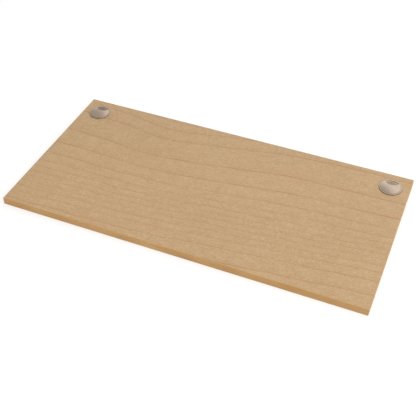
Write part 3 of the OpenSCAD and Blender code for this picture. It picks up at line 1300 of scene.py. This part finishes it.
    def _boss(self) -> Object:
        """Boss and pin that the shutter turns on, with the screw's pilot hole."""
        s = self.sizes
        shoulder, root, floor = s.shutter_top + s.play, s.crown - s.wall / 2, s.pin_low + s.pilot_depth
        corners = [
            (s.pilot_r, s.pin_low, 0.15), (s.pin_r, s.pin_low, 0.25), (s.pin_r, shoulder, 0.1),
            (s.boss_r, shoulder, 0.3), (s.boss_r, root, 0.0),
        ]
        section = rounded(corners, 4) + [(0.0, root), (0.0, floor), (s.pilot_r, floor)]
        return lathe("Boss", section, 72)

    def _shutter(self) -> Object:
        """Sector plate with a round hub, a pin hole and a rounded finger ridge."""
        s, turn_r = self.sizes, self.corner
        reach = s.shutter_r - turn_r
        lean = math.degrees(math.asin(turn_r / reach))
        start, end = 90 - s.shutter_half, 90 + s.shutter_half
        near, far = (
            (reach * math.cos(turn), reach * math.sin(turn))
            for turn in (math.radians(start + lean), math.radians(end - lean))
        )
        outline = arc(near, turn_r, start - 90, start + lean, 6)
        outline += arc(ORIGIN, s.shutter_r, start + lean, end - lean, 96)[1:-1]
        outline += arc(far, turn_r, end - lean, end + 90, 6)
        outline += arc(ORIGIN, s.hub_r, end, start + 360, 48)
        plate = slab(self._name("port_shutter_plate"), outline, s.shutter_low, s.shutter_top)
        hole_r = s.pin_r + s.pin_gap
        hole = lathe("Pin_Hole", [(0.0, -3.0), (hole_r, -3.0), (hole_r, 3.0), (0.0, 3.0)], 64)
        combine(plate, hole, Operation.CUT)
        ease(plate, 0.22, 3)
        back, top = s.shutter_r - s.ridge_inset, s.shutter_top + s.ridge_h
        low = (-s.ridge_half, back, s.shutter_top - 0.4)
        ridge = block("Ridge", low, (s.ridge_half, back + s.ridge_t, top))
        ease(ridge, 0.5, 5, lambda edge: max(v.co.z for v in edge.verts) > top - 0.01)
        return combine(plate, ridge, Operation.JOIN)

    def _washer(self) -> Object:
        """Flat washer with a stamped, slightly rounded edge."""
        s = self.sizes
        corners = [
            (s.pilot_r, s.washer_low, 0.1),
            (s.washer_r, s.washer_low, 0.22),
            (s.washer_r, s.pin_low, 0.12),
            (s.pilot_r, s.pin_low, 0.1),
        ]
        return lathe(self._name("pivot_washer_stamped"), rounded(corners, 4), 72)

    def _screw(self) -> Object:
        """Pan-head screw with a cross recess and a helical thread."""
        s, n = self.sizes, 36
        seat, r = s.washer_low, s.head_r
        low, top = seat - s.head_h, seat + s.screw_length
        head = rounded([(0.0, seat, 0.0), (r, seat, 0.1), (r, low, 1.1), (0.0, low, 0.0)])
        rings = [circle(0.0, low, n)]
        rings += [circle(out, z, n) for out, z in head[::-1] if out > 0]
        rings += thread(s.screw_root, s.screw_r, s.screw_pitch, seat, top - 0.3, n)
        rings += [circle(0.9, top, n), circle(0.0, top, n)]
        screw = loft(self._name("pivot_screw_threaded"), rings)
        arms = ((s.cross_long, s.cross_wide), (s.cross_wide, s.cross_long))
        for wide_x, wide_y in arms:
            plan = [(i * wide_x, k * wide_y) for i, k in ((-1, -1), (1, -1), (1, 1), (-1, 1))]
            mouth = [(x, y, low - 1.0) for x, y in plan]
            floor = [(x * 0.7, y * 0.7, low + s.cross_depth) for x, y in plan]
            combine(screw, loft("Recess", [mouth, floor]), Operation.CUT)
        return screw


# ---------------------------------------------------------------- studio


@dataclass
class Studio:
    """Pale floor, soft light and the camera."""

    lens: float = 66.36
    azimuth: float = 22.80
    elevation: float = 42.78
    distance: float = 2.429
    aim: Spot = (0.0262, -0.0886, 0.025)
    floor_size: float = 24.0
    floor_top: float = -0.0002
    floor_tones: Point = (0.40, 0.41)
    floor_glow: float = 0.54
    lamp_spot: Spot = (1.6, -1.4, 3.0)
    lamp_size: float = 4.0
    lamp_power: float = 86.0
    lamp_tint: Color = (1.0, 0.985, 0.96)
    sky_towards: Spot = (1.0, 0.6, -0.5)
    sky_range: Point = (-0.43, 0.13)
    sky_levels: Point = (0.62, 1.33)

    def build(self) -> None:
        """Sets out the whole studio."""
        self._floor()
        self._sky()
        self._lamp()
        self._camera()
        bpy.context.scene.view_settings.view_transform = "Standard"

    def _floor(self) -> None:
        """Pale sweep that the desk top lies on."""
        r = Recipe("Studio_Floor")
        share = r.span(r.noise(r.here, 1.5), 0.3, 0.7)
        r.feed(r.shader.inputs["Emission Color"], (1.0, 1.0, 1.0, 1.0))
        r.feed(r.shader.inputs["Emission Strength"], self.floor_glow)
        dark, light = ((tone, tone, tone) for tone in self.floor_tones)
        half = self.floor_size / 2
        floor = block("Studio_Floor", (-half, -half, -0.02), (half, half, self.floor_top))
        dress(floor, r.paint(r.mix(share, dark, light), 0.9))
        floor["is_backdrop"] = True

    def _sky(self) -> None:
        """Soft surround, brighter low at the rear right than overhead and at the left."""
        world = bpy.data.worlds.new("Studio_Sky")
        world.use_nodes = True
        sky = Steps(world.node_tree)
        spot = sky.add("ShaderNodeTexCoord").outputs["Generated"]
        facing = sky.vector("DOT_PRODUCT", spot, Vector(self.sky_towards).normalized())
        level = sky.span(facing, *self.sky_range, *self.sky_levels)
        glow = sky.run("ShaderNodeBackground", {"Color": (1.0, 1.0, 1.0, 1.0), "Strength": level})
        sky.chain(glow, sky.add("ShaderNodeOutputWorld"))
        bpy.context.scene.world = world

    def _lamp(self) -> None:
        """Adds a large square lamp that faces the desk top and shows in no reflection."""
        data = bpy.data.lights.new("Key", "AREA")
        data.size = self.lamp_size
        data.energy = self.lamp_power
        data.color = self.lamp_tint
        lamp = new_object("Key", data)
        lamp.location = self.lamp_spot
        lamp.visible_glossy = False
        towards = Vector(self.aim) - Vector(self.lamp_spot)
        lamp.rotation_euler = towards.to_track_quat("-Z", "Y").to_euler()

    def _camera(self) -> None:
        """Puts the camera in front, to the right and above."""
        data = bpy.data.cameras.new("Camera")
        data.lens = self.lens
        data.sensor_width = 36.0
        camera = new_object("Camera", data)
        a, e = math.radians(self.azimuth), math.radians(self.elevation)
        away = Vector((math.sin(a) * math.cos(e), -math.cos(a) * math.cos(e), math.sin(e)))
        camera.location = Vector(self.aim) + away * self.distance
        camera.rotation_euler = (-away).to_track_quat("-Z", "Y").to_euler()
        bpy.context.scene.camera = camera


# ---------------------------------------------------------------- build


def corners() -> list[list[float]]:
    """Lowest and highest corner of what is shown, as plain lists."""
    return [[float(value) for value in corner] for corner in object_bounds()]


def main() -> None:
    """Builds the desk top's looks around its frame, and the studio."""
    logging.basicConfig(level=logging.INFO, format="%(name)s: %(message)s")
    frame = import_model()
    Studio().build()
    Board(frame["nodes"]).build()
    steel = ZincSteel().build()
    rectangle, ring = grid_repeater(), ring_repeater()
    for side in Side:
        FrameInserts(side, steel).build(rectangle)
        low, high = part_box(f"{side.word}_port_sleeve")
        middle, title = (low + high) / 2, side.name.title()
        rim, foot = PortSizes().rim_r * MM, PortSizes().flange_r * MM
        nickel = SatinNickel(f"Satin_Nickel_{title}", middle, rim, foot).build()
        # The shutter's copy of the nickel is darker by tone: painted shade, not a different finish
        inner = SatinNickel(f"Satin_Nickel_Inner_{title}", middle, rim, foot, tone=0.60).build()
        Port(side, nickel, inner, steel).build(ring)


if __name__ == "__main__":
    main()
